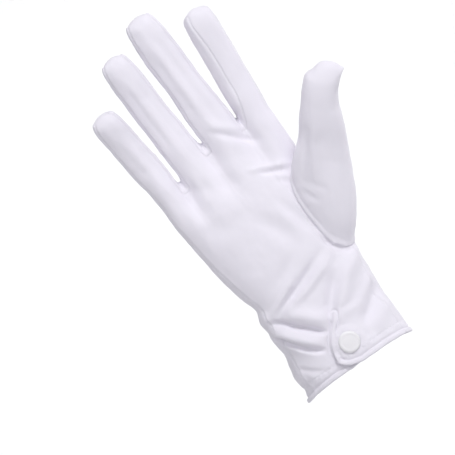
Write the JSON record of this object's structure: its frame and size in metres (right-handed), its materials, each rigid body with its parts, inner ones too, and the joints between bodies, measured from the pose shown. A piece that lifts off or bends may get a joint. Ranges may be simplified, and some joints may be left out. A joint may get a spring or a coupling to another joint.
{
  "type": "white parade glove",
  "caption": "White cloth dress glove for the right hand, with raised lines on its back, a set-in thumb and a snapped cuff vent.",
  "frame": {"origin": "centre of the cuff opening, where the wrist goes in", "axes": "+Z from the cuff to the fingertips, +X to the thumb side, +Y to the back of the hand, palm facing -Y"},
  "size_m": [0.1374, 0.0695, 0.243],
  "materials": {
    "glove_cloth": "fine white knit with a soft sheen",
    "snap_plastic": "smooth white plastic"
  },
  "bodies": {
    "root": {"back_panel": "glove_cloth", "palm_panel": "glove_cloth", "thumb": "glove_cloth", "fourchette_index_middle": "glove_cloth", "fourchette_middle_ring": "glove_cloth", "fourchette_ring_little": "glove_cloth", "snap_cap": "snap_plastic", "snap_stud": "snap_plastic"}
  },
  "joints": []
}
